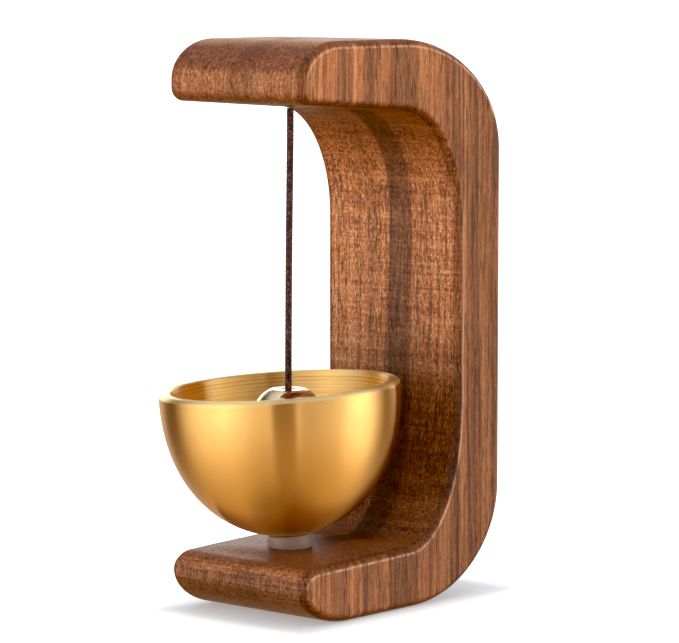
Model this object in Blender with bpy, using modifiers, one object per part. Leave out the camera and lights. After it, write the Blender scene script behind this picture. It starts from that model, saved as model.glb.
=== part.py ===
"""Small table bell: a walnut C-shaped frame with a brass bowl on its lower arm and a
clapper bead that hangs into the bowl on a cord.

Frame of reference: +Z up, base on Z = 0, +Y towards the flat back of the frame,
X across the frame. All lengths are in metres.
"""
import math

import bmesh
import bpy
from mathutils import Matrix, Vector

# ---------------------------------------------------------------- driving dimensions
GAP = 0.0003                 # space left between two pieces that touch

# walnut frame
FRAME_HEIGHT = 0.108
FRAME_DEPTH = 0.058
FRAME_WIDTH = 0.034
SPINE_THICKNESS = 0.0132
TOP_ARM_TIP = 0.0116         # thickness of the upper arm at its tip
TOP_ARM_ROOT = 0.0135        # and where it meets the inside corner
BASE_ARM_TIP = 0.0112
BASE_ARM_ROOT = 0.0118
BASE_ARM_CROWN = 0.0007      # how much the lower arm's top swells in the middle
CROWN_HALF_WIDTH = 0.0152
EDGE_ROUNDING = 0.0018       # along both sides of the frame
# elliptic corners: half-axes along Y and Z
BACK_TOP_CORNER = (0.0296, 0.0215)
BACK_BASE_CORNER = (0.0253, 0.0213)
TIP_TOP_CORNER = (0.0106, 0.0074)
TIP_BASE_CORNER = (0.0139, 0.0078)
TOP_TIP_EDGE = (0.0026, 0.0026)              # inner edge of each arm's tip
BASE_TIP_EDGE = (0.0045, 0.0034)
INSIDE_TOP_CORNER = (0.0158, 0.0217)
INSIDE_BASE_CORNER = (0.0141, 0.0258)

# brass bowl, standing on the lower arm and leaning a little
BOWL_RADIUS = 0.0229
BOWL_DEPTH = 0.0286
BOWL_WALL = 0.0022
BOWL_RIM_CHAMFER = 0.0005
BOWL_FULLNESS = 2.3          # 2 is an ellipse, more is a fuller bottom
BOWL_HOLE_RADIUS = 0.0018
BOWL_FOOT = Vector((0.0, -0.0140, 0.0143))   # lowest point of the bowl, on its axis
BOWL_LEAN = math.radians(3.75)
BOWL_LEAN_TOWARDS = math.radians(222.0)      # heading of the lean, from +X towards +Y

# washers and screw, on the bowl's axis
WASHER_RADIUS = 0.0043
WASHER_TOP_RADIUS = 0.0040
INNER_WASHER_RADIUS = 0.0032
INNER_WASHER_THICKNESS = 0.0010
SCREW_HEAD_RADIUS = 0.0028
SCREW_HEAD_HEIGHT = 0.0020
SCREW_RADIUS = 0.0014
SCREW_CORE_RADIUS = 0.0010
SCREW_PITCH = 0.0011
SCREW_REACH = 0.0100         # how far the screw goes below the bowl's lowest point
CROSS_WIDTH = 0.0008
CROSS_LENGTH = 0.0032
CROSS_DEPTH = 0.0011

# cord, knots and clapper
CORD_RADIUS = 0.00066
CORD_HOLE_RADIUS = 0.00130
CORD_AXIS_Y = -0.0142
RECESS_RADIUS = 0.0022
RECESS_DEPTH = 0.0042
KNOT_RADIUS = 0.0016
PIVOT_RISE = -0.0003         # the cord bends this far from the level of the hole's mouth
SWIVEL_LENGTH = 0.0018
CLAPPER_RADIUS = 0.0075
CLAPPER_FLAT_RADIUS = 0.0035
CLAPPER_BORE_RADIUS = 0.00115
CLAPPER_TOP = 0.0422         # height of the clapper's upper flat

# magnets in the back
MAGNET_RADIUS = 0.005
MAGNET_THICKNESS = 0.003
MAGNET_HEIGHTS = {"magnet_upper": 0.072, "magnet_lower": 0.036}

# rounding of the meshes
CORNER_STEPS = 12
TIP_STEPS = 6
CROWN_STEPS = 7
CROWN_LOOPS = (-0.0125, -0.0085, -0.0043, 0.0, 0.0043, 0.0085, 0.0125)
TURNED_STEPS = 48
SMALL_TURNED_STEPS = 24

# ---------------------------------------------------------------- derived places
FRONT = -FRAME_DEPTH / 2
BACK = FRAME_DEPTH / 2
SPINE_FACE = BACK - SPINE_THICKNESS
AXIS_TILT = Matrix.Rotation(
    BOWL_LEAN, 4, (-math.sin(BOWL_LEAN_TOWARDS), math.cos(BOWL_LEAN_TOWARDS), 0.0))
BOWL_PLACE = Matrix.Translation(BOWL_FOOT) @ AXIS_TILT


def slope(y, start, end, first_level, last_level):
    """Height at y on a straight line between two levels."""
    return first_level + (last_level - first_level) * (y - start) / (end - start)


def top_arm_underside(y):
    return slope(y, FRONT + TOP_TIP_EDGE[0], SPINE_FACE - INSIDE_TOP_CORNER[0],
                 FRAME_HEIGHT - TOP_ARM_TIP, FRAME_HEIGHT - TOP_ARM_ROOT)


def base_arm_top(y):
    return slope(y, FRONT + BASE_TIP_EDGE[0], SPINE_FACE - INSIDE_BASE_CORNER[0],
                 BASE_ARM_TIP, BASE_ARM_ROOT)


def crown(x, y):
    """Swelling of the lower arm's top, which fades out at its sides, tip and root."""
    start, end = FRONT + BASE_TIP_EDGE[0], SPINE_FACE - INSIDE_BASE_CORNER[0]
    along = min(1.0, max(0.0, (y - start) / 0.006), max(0.0, (end + 0.004 - y) / 0.008))
    across = max(0.0, 1.0 - (x / CROWN_HALF_WIDTH) ** 2)
    return BASE_ARM_CROWN * along * across


MOUTH = top_arm_underside(CORD_AXIS_Y)
PIVOT = Vector((0.00032, CORD_AXIS_Y + 0.00030, MOUTH + PIVOT_RISE))
CLAPPER_HALF_HEIGHT = math.sqrt(CLAPPER_RADIUS ** 2 - CLAPPER_FLAT_RADIUS ** 2)
CLAPPER_CENTRE = Vector((0.0, CORD_AXIS_Y, CLAPPER_TOP - CLAPPER_HALF_HEIGHT))
CLAPPER_FOOT = CLAPPER_CENTRE.z - CLAPPER_HALF_HEIGHT

# the hanging cord, from the hole's mouth to just under the clapper
CORD_ROUTE = [
    PIVOT + Vector((0.0, 0.0, -GAP / 2)),
    Vector((0.00031, CORD_AXIS_Y + 0.00029, 0.0900)),
    Vector((0.00024, CORD_AXIS_Y + 0.00022, 0.0820)),
    Vector((0.00015, CORD_AXIS_Y + 0.00014, 0.0720)),
    Vector((0.00008, CORD_AXIS_Y + 0.00007, 0.0620)),
    Vector((0.00002, CORD_AXIS_Y + 0.00002, 0.0500)),
    Vector((0.0, CORD_AXIS_Y, CLAPPER_TOP)),
    Vector((0.0, CORD_AXIS_Y, CLAPPER_FOOT)),
]


# ---------------------------------------------------------------- helpers
def clear_scene():
    for item in list(bpy.data.objects):
        bpy.data.objects.remove(item, do_unlink=True)


def new_collection(name):
    collection = bpy.data.collections.new(name)
    bpy.context.scene.collection.children.link(collection)
    return collection


def make_material(name, colour, roughness, metallic=0.0):
    material = bpy.data.materials.new(name)
    material.use_nodes = True
    shader = material.node_tree.nodes["Principled BSDF"]
    shader.inputs["Base Color"].default_value = (*colour, 1.0)
    shader.inputs["Roughness"].default_value = roughness
    shader.inputs["Metallic"].default_value = metallic
    return material


def place_mesh(name, mesh, collection, material=None, matrix=None):
    piece = bpy.data.objects.new(name, mesh)
    collection.objects.link(piece)
    if material:
        mesh.materials.append(material)
    if matrix:
        piece.matrix_world = matrix
    return piece


def smooth(piece, angle=35.0):
    piece.data.shade_smooth()
    piece.data.set_sharp_from_angle(angle=math.radians(angle))


def arc(centre, half_axes, start, end, steps):
    """Points of an elliptic arc in the Y-Z plane, angles in degrees from +Y towards +Z."""
    points = []
    for step in range(steps + 1):
        angle = math.radians(start + (end - start) * step / steps)
        points.append((centre[0] + half_axes[0] * math.cos(angle),
                       centre[1] + half_axes[1] * math.sin(angle)))
    return points


def turned(name, profile, collection, material, matrix, steps, closed=True):
    """A turned solid: (radius, height) points run down the outer side, top to bottom."""
    mesh = bpy.data.meshes.new(name)
    vertices = [(radius, 0.0, height) for radius, height in profile]
    edges = [(i, i + 1) for i in range(len(profile) - 1)]
    if closed:
        edges.append((len(profile) - 1, 0))
    mesh.from_pydata(vertices, edges, [])
    piece = place_mesh(name, mesh, collection, material, matrix)
    screw = piece.modifiers.new("Turn", "SCREW")
    screw.steps = screw.render_steps = steps
    screw.use_merge_vertices = True
    screw.merge_threshold = 0.00001
    screw.use_smooth_shade = True
    return piece


def apply_modifiers(piece):
    """Replace the piece's mesh by what its modifiers make of it."""
    evaluated = piece.evaluated_get(bpy.context.evaluated_depsgraph_get())
    mesh = bpy.data.meshes.new_from_object(evaluated)
    piece.modifiers.clear()
    piece.data = mesh
    return piece


def cylinder_cutter(name, radius, low, high, collection, matrix, sides=32):
    """A cylinder along local Z from low to high, used only to cut."""
    mesh = bpy.data.meshes.new(name)
    shape = bmesh.new()
    bmesh.ops.create_cone(shape, cap_ends=True, segments=sides, radius1=radius,
                          radius2=radius, depth=high - low,
                          matrix=Matrix.Translation((0.0, 0.0, (low + high) / 2)))
    shape.to_mesh(mesh)
    shape.free()
    return hide_cutter(place_mesh(name, mesh, collection, None, matrix))


def hide_cutter(cutter):
    cutter.hide_render = True
    cutter.display_type = "WIRE"
    return cutter


def cut(piece, cutter):
    boolean = piece.modifiers.new(cutter.name, "BOOLEAN")
    boolean.operation = "DIFFERENCE"
    boolean.solver = "EXACT"
    boolean.object = cutter


def smooth_route(points, spacing):
    """Catmull-Rom curve through the points, read about every spacing metres."""
    padded = [2 * points[0] - points[1]] + points + [2 * points[-1] - points[-2]]
    route = [points[0].copy()]
    for before, start, end, after in zip(padded, padded[1:], padded[2:], padded[3:]):
        count = max(1, round((end - start).length / spacing))
        for step in range(1, count + 1):
            t = step / count
            route.append(0.5 * (2 * start + (end - before) * t
                                + (2 * before - 5 * start + 4 * end - after) * t ** 2
                                + (3 * start - before - 3 * end + after) * t ** 3))
    return route


def cord_tube(name, points, collection, material):
    curve = bpy.data.curves.new(name, "CURVE")
    curve.dimensions = "3D"
    curve.bevel_depth = CORD_RADIUS
    curve.bevel_resolution = 2
    curve.use_fill_caps = True
    curve.materials.append(material)
    spline = curve.splines.new("POLY")
    spline.points.add(len(points) - 1)
    for target, point in zip(spline.points, points):
        target.co = (*point, 1.0)
    tube = bpy.data.objects.new(name, curve)
    collection.objects.link(tube)
    return tube


# ---------------------------------------------------------------- walnut frame
def frame_outline():
    """Side view of the frame as (y, z) points, all the way round."""
    def corner(y, z, half_axes, start, end):
        return arc((y, z), half_axes, start, end, CORNER_STEPS)

    top_tip_level = FRAME_HEIGHT - TOP_ARM_TIP
    ceiling = FRAME_HEIGHT - TOP_ARM_ROOT
    root, tip_end = SPINE_FACE - INSIDE_BASE_CORNER[0], FRONT + BASE_TIP_EDGE[0]
    outline = []
    outline += corner(FRONT + TIP_BASE_CORNER[0], TIP_BASE_CORNER[1], TIP_BASE_CORNER, 180, 270)
    outline += corner(BACK - BACK_BASE_CORNER[0], BACK_BASE_CORNER[1], BACK_BASE_CORNER, 270, 360)
    outline += corner(BACK - BACK_TOP_CORNER[0], FRAME_HEIGHT - BACK_TOP_CORNER[1],
                      BACK_TOP_CORNER, 0, 90)
    outline += corner(FRONT + TIP_TOP_CORNER[0], FRAME_HEIGHT - TIP_TOP_CORNER[1],
                      TIP_TOP_CORNER, 90, 180)
    outline += arc((FRONT + TOP_TIP_EDGE[0], top_tip_level + TOP_TIP_EDGE[1]), TOP_TIP_EDGE,
                   180, 270, TIP_STEPS)
    outline += corner(SPINE_FACE - INSIDE_TOP_CORNER[0], ceiling - INSIDE_TOP_CORNER[1],
                      INSIDE_TOP_CORNER, 90, 0)
    outline += corner(SPINE_FACE - INSIDE_BASE_CORNER[0], BASE_ARM_ROOT + INSIDE_BASE_CORNER[1],
                      INSIDE_BASE_CORNER, 0, -90)
    for step in range(1, CROWN_STEPS):
        y = root + (tip_end - root) * step / CROWN_STEPS
        outline.append((y, base_arm_top(y)))
    outline += arc((tip_end, BASE_ARM_TIP - BASE_TIP_EDGE[1]), BASE_TIP_EDGE, 90, 180, TIP_STEPS)
    return outline[:-1] if math.dist(outline[0], outline[-1]) < 1e-5 else outline


def raise_crown(shape):
    """Divide the block across its width and swell the top of its lower arm."""
    for x in CROWN_LOOPS:
        bmesh.ops.bisect_plane(shape, geom=shape.verts[:] + shape.edges[:] + shape.faces[:],
                               plane_co=(x, 0.0, 0.0), plane_no=(1.0, 0.0, 0.0))
    for vertex in shape.verts:
        x, y, z = vertex.co
        if abs(z - base_arm_top(y)) < 0.0012 and abs(x) < CROWN_HALF_WIDTH and y < SPINE_FACE:
            vertex.co.z += crown(x, y)


def build_frame(parts, cutters, walnut):
    outline = frame_outline()
    half_width = FRAME_WIDTH / 2
    mesh = bpy.data.meshes.new("wood_frame")
    shape = bmesh.new()
    side = shape.faces.new([shape.verts.new((-half_width, y, z)) for y, z in outline])
    grown = bmesh.ops.extrude_face_region(shape, geom=[side])["geom"]
    moved = [item for item in grown if isinstance(item, bmesh.types.BMVert)]
    bmesh.ops.translate(shape, verts=moved, vec=(FRAME_WIDTH, 0.0, 0.0))
    bmesh.ops.recalc_face_normals(shape, faces=shape.faces)
    raise_crown(shape)
    shape.to_mesh(mesh)
    shape.free()
    frame = place_mesh("wood_frame", mesh, parts, walnut)

    rounding = frame.modifiers.new("Rounded edges", "BEVEL")
    rounding.width = EDGE_ROUNDING
    rounding.segments = 4
    rounding.limit_method = "ANGLE"
    rounding.angle_limit = math.radians(60)
    rounding.use_clamp_overlap = False

    cord_axis = Matrix.Translation((0.0, CORD_AXIS_Y, 0.0))
    cut(frame, cylinder_cutter("cut_cord_hole", CORD_HOLE_RADIUS, MOUTH - 0.003,
                               FRAME_HEIGHT + 0.003, cutters, cord_axis, 20))
    cut(frame, cylinder_cutter("cut_knot_recess", RECESS_RADIUS, FRAME_HEIGHT - RECESS_DEPTH,
                               FRAME_HEIGHT + 0.003, cutters, cord_axis))
    cut(frame, cylinder_cutter("cut_screw_hole", SCREW_RADIUS + GAP, -SCREW_REACH - 2 * GAP,
                               0.004, cutters, BOWL_PLACE, 20))
    for name, height in MAGNET_HEIGHTS.items():
        place = Matrix.Translation((0.0, BACK, height)) @ Matrix.Rotation(math.radians(90), 4, "X")
        cut(frame, cylinder_cutter("cut_" + name, MAGNET_RADIUS + GAP, -0.002,
                                   MAGNET_THICKNESS + 2 * GAP, cutters, place))
    smooth(apply_modifiers(frame))


def build_magnets(parts, nickel):
    for name, height in MAGNET_HEIGHTS.items():
        edge = 0.0003
        low, high = GAP, GAP + MAGNET_THICKNESS
        profile = [(0.0, high), (MAGNET_RADIUS - edge, high), (MAGNET_RADIUS, high - edge),
                   (MAGNET_RADIUS, low + edge), (MAGNET_RADIUS - edge, low), (0.0, low)]
        place = Matrix.Translation((0.0, BACK, height)) @ Matrix.Rotation(math.radians(90), 4, "X")
        smooth(apply_modifiers(turned(name, profile, parts, nickel, place, 32, closed=False)))


# ---------------------------------------------------------------- bowl, washers, screw
def bowl_curve(radius, depth, first_angle, steps):
    """Wall from the rim down to the hole: an ellipse with a fuller bottom."""
    points = []
    for step in range(steps + 1):
        angle = math.radians(90) + (first_angle - math.radians(90)) * step / steps
        points.append((radius * math.sin(angle),
                       BOWL_DEPTH - depth * math.cos(angle) ** (2 / BOWL_FULLNESS)))
    return points


def build_bowl(parts, brass):
    inner_radius = BOWL_RADIUS - BOWL_WALL
    outer = bowl_curve(BOWL_RADIUS, BOWL_DEPTH, math.asin(BOWL_HOLE_RADIUS / BOWL_RADIUS), 15)
    inner = bowl_curve(inner_radius, BOWL_DEPTH - BOWL_WALL,
                       math.asin(BOWL_HOLE_RADIUS / inner_radius), 14)
    rim = [(inner_radius, BOWL_DEPTH), (BOWL_RADIUS - BOWL_RIM_CHAMFER, BOWL_DEPTH),
           (BOWL_RADIUS, BOWL_DEPTH - BOWL_RIM_CHAMFER)]
    profile = rim + outer[1:] + inner[:0:-1]
    bowl = turned("brass_bowl", profile, parts, brass, BOWL_PLACE, TURNED_STEPS)
    smooth(apply_modifiers(bowl))


def build_bowl_washer(parts, silicone):
    """Spacer whose underside follows the sloping arm."""
    bore = SCREW_RADIUS + GAP
    profile = [(bore, -GAP), (WASHER_TOP_RADIUS, -GAP), (WASHER_RADIUS, -0.0006),
               (WASHER_RADIUS, -0.0020), (bore, -0.0020)]
    washer = turned("bowl_washer", profile, parts, silicone, BOWL_PLACE, SMALL_TURNED_STEPS)
    apply_modifiers(washer)
    up = BOWL_PLACE.to_3x3() @ Vector((0.0, 0.0, 1.0))
    for vertex in washer.data.vertices:
        if vertex.co.z < -0.0019:
            point = BOWL_PLACE @ vertex.co
            drop = point.z - base_arm_top(point.y) - crown(point.x, point.y) - GAP
            vertex.co.z -= drop / up.z
    smooth(washer)


def inner_face(radius):
    """Height of the bowl's inner face at a radius, on the bowl's axis."""
    sine = radius / (BOWL_RADIUS - BOWL_WALL)
    return BOWL_DEPTH - (BOWL_DEPTH - BOWL_WALL) * (1 - sine ** 2) ** (1 / BOWL_FULLNESS)


def inner_washer_levels():
    low = inner_face(INNER_WASHER_RADIUS) + GAP
    return low, low + INNER_WASHER_THICKNESS


def build_inner_washer(parts, silicone):
    bore = SCREW_RADIUS + GAP
    low, high = inner_washer_levels()
    edge = 0.0002
    profile = [(bore, high), (INNER_WASHER_RADIUS - edge, high),
               (INNER_WASHER_RADIUS, high - edge), (INNER_WASHER_RADIUS, low + edge),
               (INNER_WASHER_RADIUS - edge, low), (bore, low)]
    smooth(apply_modifiers(turned("inner_washer", profile, parts, silicone, BOWL_PLACE,
                                  SMALL_TURNED_STEPS)))


def build_screw(parts, cutters, steel):
    """Pan-head wood screw; its thread is drawn as rings."""
    seat = inner_washer_levels()[1] + GAP
    top = seat + SCREW_HEAD_HEIGHT
    profile = [(0.0, top), (0.5 * SCREW_HEAD_RADIUS, top - 0.0001),
               (0.85 * SCREW_HEAD_RADIUS, top - 0.0006), (SCREW_HEAD_RADIUS, top - 0.0013),
               (SCREW_HEAD_RADIUS, seat + 0.0002), (SCREW_HEAD_RADIUS - 0.0002, seat),
               (SCREW_CORE_RADIUS, seat)]
    rings = int((SCREW_REACH - 0.002) / SCREW_PITCH)
    for ring in range(rings):
        middle = -0.0010 - ring * SCREW_PITCH
        profile += [(SCREW_CORE_RADIUS, middle + 0.3 * SCREW_PITCH), (SCREW_RADIUS, middle),
                    (SCREW_CORE_RADIUS, middle - 0.3 * SCREW_PITCH)]
    profile += [(0.0, -SCREW_REACH)]
    screw = turned("bowl_screw", profile, parts, steel, BOWL_PLACE, 20, closed=False)
    apply_modifiers(screw)
    for turn in (0.0, 90.0):
        mesh = bpy.data.meshes.new("cut_cross")
        shape = bmesh.new()
        bmesh.ops.create_cube(shape, size=1.0)
        bmesh.ops.scale(shape, vec=(CROSS_LENGTH, CROSS_WIDTH, 2 * CROSS_DEPTH), verts=shape.verts)
        shape.to_mesh(mesh)
        shape.free()
        place = (BOWL_PLACE @ Matrix.Translation((0.0, 0.0, top))
                 @ Matrix.Rotation(math.radians(turn + 20.0), 4, "Z"))
        cut(screw, hide_cutter(place_mesh("cut_cross", mesh, cutters, None, place)))
    smooth(apply_modifiers(screw))


# ---------------------------------------------------------------- cord, knots, clapper
def build_knot(name, centre, parts, material):
    """Outer shape of a small overhand knot."""
    mesh = bpy.data.meshes.new(name)
    shape = bmesh.new()
    bmesh.ops.create_uvsphere(shape, u_segments=16, v_segments=10, radius=KNOT_RADIUS)
    bmesh.ops.scale(shape, vec=(1.0, 0.92, 0.8), verts=shape.verts)
    shape.to_mesh(mesh)
    shape.free()
    smooth(place_mesh(name, mesh, parts, material, Matrix.Translation(centre)))


def build_cord(parts, thread):
    half_knot = 0.8 * KNOT_RADIUS
    recess_floor = FRAME_HEIGHT - RECESS_DEPTH
    knot_centre = Vector((0.0, CORD_AXIS_Y, recess_floor + GAP + half_knot))
    build_knot("cord_top_knot", knot_centre, parts, thread)
    swivel_top = PIVOT.z + GAP / 2 + SWIVEL_LENGTH
    cord_tube("cord_in_arm", [Vector((0.0, CORD_AXIS_Y, recess_floor)),
                              Vector((0.0, CORD_AXIS_Y, swivel_top + 0.002)),
                              Vector((PIVOT.x, PIVOT.y, swivel_top + GAP))], parts, thread)
    cord_tube("cord_swivel", [Vector((PIVOT.x, PIVOT.y, swivel_top)),
                              Vector((PIVOT.x, PIVOT.y, PIVOT.z + GAP / 2))], parts, thread)
    cord_tube("cord", smooth_route(CORD_ROUTE, 0.0028), parts, thread)
    build_knot("clapper_knot", Vector((0.0, CORD_AXIS_Y, CLAPPER_FOOT - GAP - half_knot)),
               parts, thread)


def build_clapper(parts, metal):
    """Bead with a flat at each end and a bore for the cord."""
    steps = 14
    first = math.asin(CLAPPER_FLAT_RADIUS / CLAPPER_RADIUS)
    edge = 0.0003
    profile = [(CLAPPER_BORE_RADIUS, CLAPPER_HALF_HEIGHT - edge),
               (CLAPPER_BORE_RADIUS + edge, CLAPPER_HALF_HEIGHT)]
    for step in range(steps + 1):
        angle = first + (math.pi - 2 * first) * step / steps
        profile.append((CLAPPER_RADIUS * math.sin(angle), CLAPPER_RADIUS * math.cos(angle)))
    profile += [(CLAPPER_BORE_RADIUS + edge, -CLAPPER_HALF_HEIGHT),
                (CLAPPER_BORE_RADIUS, -CLAPPER_HALF_HEIGHT + edge)]
    smooth(apply_modifiers(turned("clapper", profile, parts, metal,
                                  Matrix.Translation(CLAPPER_CENTRE), 32)))


def main():
    clear_scene()
    parts = new_collection("table_bell")
    cutters = new_collection("cutters")
    walnut = make_material("walnut", (0.30, 0.13, 0.06), 0.5)
    brass = make_material("brass", (0.87, 0.58, 0.20), 0.25, 1.0)
    silicone = make_material("silicone", (0.82, 0.80, 0.76), 0.4)
    steel = make_material("steel", (0.72, 0.70, 0.66), 0.3, 1.0)
    clapper_metal = make_material("clapper_metal", (0.85, 0.76, 0.58), 0.12, 1.0)
    thread = make_material("cord", (0.11, 0.035, 0.03), 0.85)

    build_frame(parts, cutters, walnut)
    build_magnets(parts, steel)
    build_bowl(parts, brass)
    build_bowl_washer(parts, silicone)
    build_inner_washer(parts, silicone)
    build_screw(parts, cutters, steel)
    build_cord(parts, thread)
    build_clapper(parts, clapper_metal)


main()
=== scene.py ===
"""Looks of the small walnut and brass bell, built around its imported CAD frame.

The row frame: +Z up, base on Z = 0, +Y towards the flat back, X across. Metres.
"""
import math

import bmesh
import bpy
from mathutils import Matrix, Vector


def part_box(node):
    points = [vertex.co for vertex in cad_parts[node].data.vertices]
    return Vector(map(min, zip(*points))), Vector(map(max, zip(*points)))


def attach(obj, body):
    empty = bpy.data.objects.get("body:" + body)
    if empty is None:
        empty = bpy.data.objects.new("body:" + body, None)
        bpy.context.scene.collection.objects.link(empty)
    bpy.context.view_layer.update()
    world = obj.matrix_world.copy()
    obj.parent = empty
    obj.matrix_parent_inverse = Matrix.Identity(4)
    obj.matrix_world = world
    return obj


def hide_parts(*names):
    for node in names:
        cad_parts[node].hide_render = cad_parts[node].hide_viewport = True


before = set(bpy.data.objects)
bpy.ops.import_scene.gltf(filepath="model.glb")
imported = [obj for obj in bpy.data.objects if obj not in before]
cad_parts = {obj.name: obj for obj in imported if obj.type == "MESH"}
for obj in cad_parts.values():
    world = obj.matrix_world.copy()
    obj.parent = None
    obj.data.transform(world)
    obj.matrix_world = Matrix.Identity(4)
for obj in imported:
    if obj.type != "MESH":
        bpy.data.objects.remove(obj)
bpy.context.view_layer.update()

# ---------------------------------------------------------------- camera
CAMERA_AZIMUTH = math.radians(41.3)
CAMERA_DISTANCE = 0.6473
CAMERA_HEIGHT = 0.1234
CAMERA_AIM = Vector((0.0002, 0.0002, 0.0538))
CAMERA_LENS = 180.3
SENSOR_WIDTH = 36.0

# ---------------------------------------------------------------- sizes from the frame
FRAME_LOW, FRAME_HIGH = (Vector(corner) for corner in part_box("wood_frame"))
FRAME_HEIGHT = FRAME_HIGH.z
FRAME_WIDTH = FRAME_HIGH.x - FRAME_LOW.x
FRONT, BACK = FRAME_LOW.y, FRAME_HIGH.y
SPINE_FACE = BACK - 0.0132
TOP_ARM_TIP, TOP_ARM_ROOT = 0.0116, 0.0135
BASE_ARM_TIP, BASE_ARM_ROOT = 0.0112, 0.0118
BASE_ARM_CROWN, CROWN_HALF_WIDTH = 0.0007, 0.0152
EDGE_ROUNDING = 0.0018
BACK_TOP_CORNER = (0.0296, 0.0215)
BACK_BASE_CORNER = (0.0253, 0.0213)
TIP_TOP_CORNER = (0.0106, 0.0074)
TIP_BASE_CORNER = (0.0139, 0.0078)
TOP_TIP_EDGE = (0.0026, 0.0026)
BASE_TIP_EDGE = (0.0045, 0.0034)
INSIDE_TOP_CORNER = (0.0158, 0.0217)
INSIDE_BASE_CORNER = (0.0141, 0.0258)
CORD_HOLE_RADIUS = 0.0013
RECESS_RADIUS = 0.0022
RECESS_DEPTH = 0.0042
CORD_AXIS_Y = -0.0142

BOWL_RADIUS, BOWL_DEPTH, BOWL_WALL = 0.0229, 0.0286, 0.0022
BOWL_FULLNESS = 2.3
BOWL_HOLE_RADIUS = 0.0018
BOWL_FOOT = Vector((0.0, -0.0140, 0.0143))
BOWL_LEAN = math.radians(3.75)
BOWL_LEAN_TOWARDS = math.radians(222.0)
BOWL_PLACE = Matrix.Translation(BOWL_FOOT) @ Matrix.Rotation(
    BOWL_LEAN, 4, (-math.sin(BOWL_LEAN_TOWARDS), math.cos(BOWL_LEAN_TOWARDS), 0.0))

CLAPPER_LOW, CLAPPER_HIGH = (Vector(corner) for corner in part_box("clapper"))
CLAPPER_CENTRE = (CLAPPER_LOW + CLAPPER_HIGH) / 2
CLAPPER_RADIUS = (CLAPPER_HIGH.x - CLAPPER_LOW.x) / 2
CLAPPER_HALF_HEIGHT = (CLAPPER_HIGH.z - CLAPPER_LOW.z) / 2
CLAPPER_BORE_RADIUS = 0.00115

SEAM = 0.00004               # gap left between two pieces that touch
GAP = 0.0003                 # gap between two such pieces in the CAD
SCREW_HOLE_RADIUS = 0.0017
WASHER_RADIUS, WASHER_TOP_RADIUS = 0.0043, 0.0040
INNER_WASHER_RADIUS, INNER_WASHER_THICKNESS = 0.0032, 0.0010
SCREW_HEAD_RADIUS, SCREW_HEAD_HEIGHT = 0.0028, 0.0020
MAGNETS = ("magnet_upper", "magnet_lower")


# ---------------------------------------------------------------- shader helpers
class Shader:
    """One material's node tree, with short calls for the nodes it uses."""

    def __init__(self, name):
        self.material = bpy.data.materials.new(name)
        self.material.use_nodes = True
        self.nodes = self.material.node_tree.nodes
        self.links = self.material.node_tree.links
        self.surface = self.nodes["Principled BSDF"]
        self.position = self.add("ShaderNodeTexCoord").outputs["Object"]

    def add(self, kind, **settings):
        node = self.nodes.new(kind)
        for key, value in settings.items():
            setattr(node, key, value)
        return node

    def feed(self, socket, value):
        if isinstance(value, bpy.types.NodeSocket):
            self.links.new(value, socket)
        elif isinstance(value, tuple) and len(value) == 3 and socket.type == "RGBA":
            socket.default_value = (*value, 1.0)
        else:
            socket.default_value = value

    def set(self, **inputs):
        for key, value in inputs.items():
            self.feed(self.surface.inputs[key.replace("_", " ")], value)

    def math(self, operation, a, b=0.0, clamp=False):
        node = self.add("ShaderNodeMath", operation=operation, use_clamp=clamp)
        self.feed(node.inputs[0], a)
        self.feed(node.inputs[1], b)
        return node.outputs[0]

    def stretched(self, scale, vector=None, offset=(0.0, 0.0, 0.0)):
        node = self.add("ShaderNodeMapping")
        self.feed(node.inputs["Vector"], vector or self.position)
        node.inputs["Scale"].default_value = scale
        node.inputs["Location"].default_value = offset
        return node.outputs["Vector"]

    def noise(self, vector, detail=2.0, roughness=0.5, scale=1.0):
        node = self.add("ShaderNodeTexNoise")
        self.feed(node.inputs["Vector"], vector)
        node.inputs["Scale"].default_value = scale
        node.inputs["Detail"].default_value = detail
        node.inputs["Roughness"].default_value = roughness
        return node.outputs["Fac"]

    def span(self, value, low, high, to_low=0.0, to_high=1.0):
        node = self.add("ShaderNodeMapRange", interpolation_type="SMOOTHSTEP")
        self.feed(node.inputs["Value"], value)
        for key, number in (("From Min", low), ("From Max", high),
                            ("To Min", to_low), ("To Max", to_high)):
            node.inputs[key].default_value = number
        return node.outputs["Result"]

    def mix(self, factor, a, b, blend="MIX"):
        node = self.add("ShaderNodeMix", data_type="RGBA", blend_type=blend)
        self.feed(node.inputs[0], factor)
        self.feed(node.inputs[6], a)
        self.feed(node.inputs[7], b)
        return node.outputs[2]

    def ramp(self, value, stops, mode="LINEAR"):
        node = self.add("ShaderNodeValToRGB")
        node.color_ramp.interpolation = mode
        elements = node.color_ramp.elements
        while len(elements) < len(stops):
            elements.new(0.5)
        for element, (place, colour) in zip(elements, stops):
            element.position = place
            if isinstance(colour, (int, float)):
                colour = (colour, colour, colour)
            element.color = (*colour, 1.0)
        self.feed(node.inputs["Fac"], value)
        return node.outputs["Color"]

    def split(self, vector=None):
        node = self.add("ShaderNodeSeparateXYZ")
        self.feed(node.inputs[0], vector or self.position)
        return node.outputs

    def bump(self, height, strength, distance, below=None):
        node = self.add("ShaderNodeBump")
        node.inputs["Strength"].default_value = strength
        node.inputs["Distance"].default_value = distance
        self.feed(node.inputs["Height"], height)
        if below is not None:
            self.feed(node.inputs["Normal"], below)
        return node.outputs["Normal"]


# ---------------------------------------------------------------- materials
WALNUT_TONES = [
    # how light the grain is there, colour
    (0.14, (0.070, 0.024, 0.012)), (0.36, (0.255, 0.084, 0.032)), (0.50, (0.450, 0.162, 0.057)),
    (0.66, (0.630, 0.270, 0.108)), (0.86, (0.850, 0.500, 0.290))]
BRASS = (0.94, 0.560, 0.190)
LIP_PAINTED_HIGHLIGHT = (1.0, 0.78, 0.38)   # the bowl's lip is painted paler than its wall: a painted highlight along the rim
LIP_HAZE = 0.14                # and a little less metallic


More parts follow.
